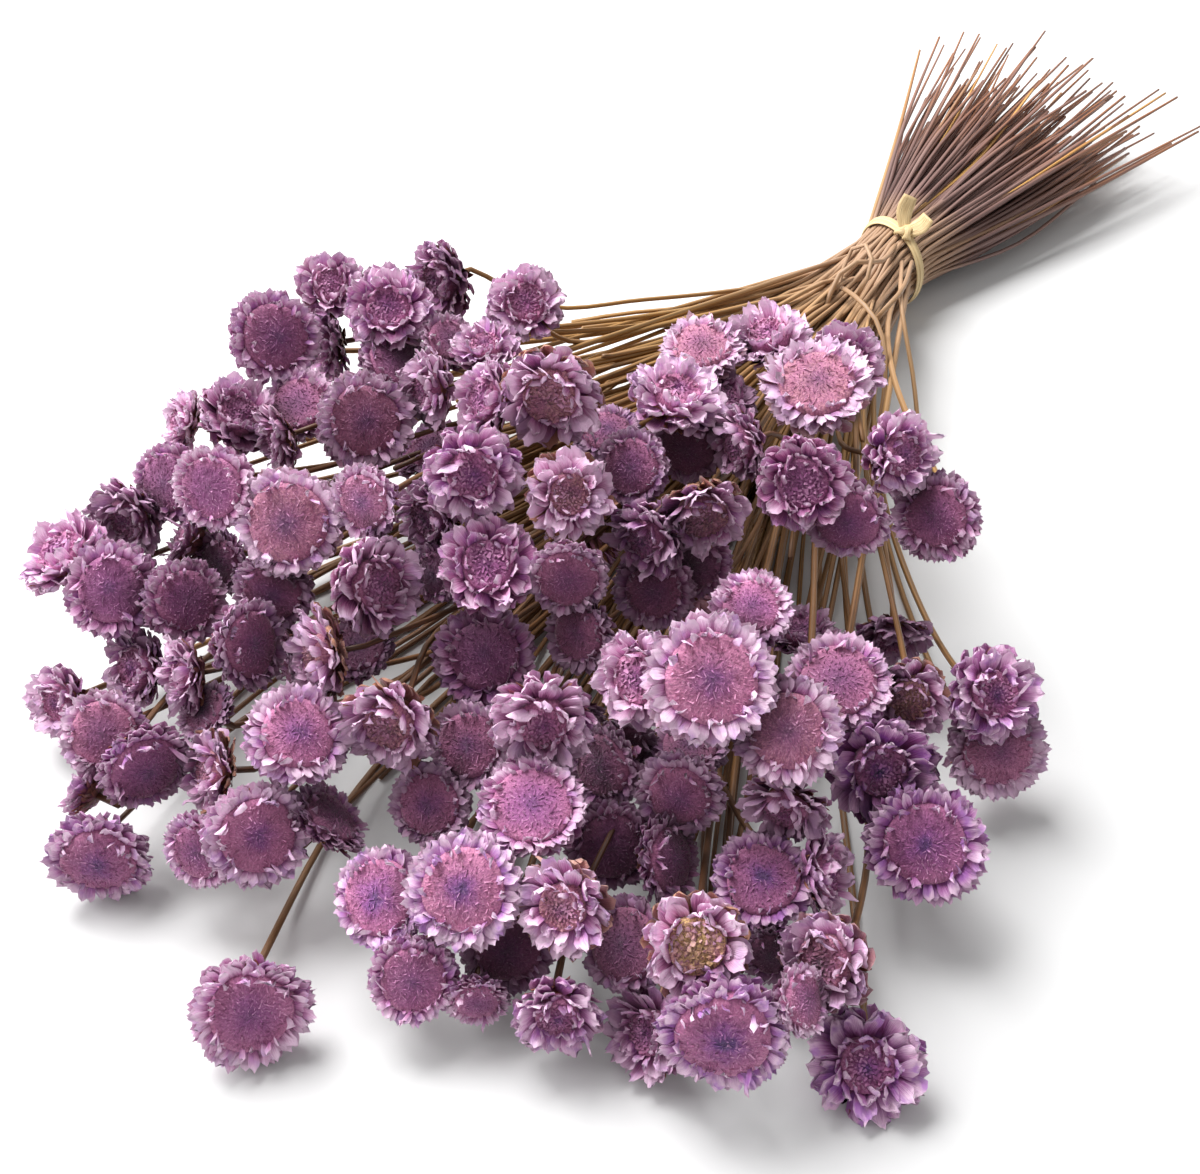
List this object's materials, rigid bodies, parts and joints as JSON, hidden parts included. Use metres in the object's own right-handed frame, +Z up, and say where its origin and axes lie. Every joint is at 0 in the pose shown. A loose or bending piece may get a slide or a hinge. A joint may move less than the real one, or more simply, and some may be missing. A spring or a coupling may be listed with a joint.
{
  "type": "dried star-flower bunch",
  "caption": "Tied bunch of purple-dyed dried everlasting flowers lying on its side, heads fanned out, long thin stems, straw tie.",
  "frame": {"origin": "centre of the bounding box, on the surface the bunch lies on", "axes": "+Y along the bunch from the flower heads to the cut ends, +Z up from the surface, +X across the bunch"},
  "size_m": [0.1928, 0.3824, 0.0711],
  "materials": {
    "dried_petals": "matte, papery",
    "dried_stems": "matte, ribbed",
    "straw": "matte, fibrous"
  },
  "bodies": {
    "root": {"heads_01": "dried_petals", "heads_02": "dried_petals", "heads_03": "dried_petals", "heads_04": "dried_petals", "heads_05": "dried_petals", "heads_06": "dried_petals", "heads_07": "dried_petals", "heads_08": "dried_petals", "heads_09": "dried_petals", "heads_10": "dried_petals", "heads_11": "dried_petals", "heads_12": "dried_petals", "heads_13": "dried_petals", "heads_14": "dried_petals", "heads_15": "dried_petals", "heads_16": "dried_petals", "heads_17": "dried_petals", "heads_18": "dried_petals", "heads_19": "dried_petals", "heads_20": "dried_petals", "heads_21": "dried_petals", "heads_22": "dried_petals", "heads_23": "dried_petals", "heads_24": "dried_petals", "heads_25": "dried_petals", "heads_26": "dried_petals", "heads_27": "dried_petals", "heads_28": "dried_petals", "heads_29": "dried_petals", "heads_30": "dried_petals", "heads_31": "dried_petals", "heads_32": "dried_petals", "heads_33": "dried_petals", "heads_34": "dried_petals", "heads_35": "dried_petals", "heads_36": "dried_petals", "heads_37": "dried_petals", "heads_38": "dried_petals", "heads_39": "dried_petals", "heads_40": "dried_petals", "heads_41": "dried_petals", "heads_42": "dried_petals", "heads_43": "dried_petals", "heads_44": "dried_petals", "heads_45": "dried_petals", "heads_46": "dried_petals", "heads_47": "dried_petals", "heads_48": "dried_petals", "heads_49": "dried_petals", "heads_50": "dried_petals", "heads_51": "dried_petals", "heads_52": "dried_petals", "heads_53": "dried_petals", "heads_54": "dried_petals", "heads_55": "dried_petals", "heads_56": "dried_petals", "heads_57": "dried_petals", "heads_58": "dried_petals", "stems": "dried_stems", "tie": "straw"}
  },
  "joints": []
}
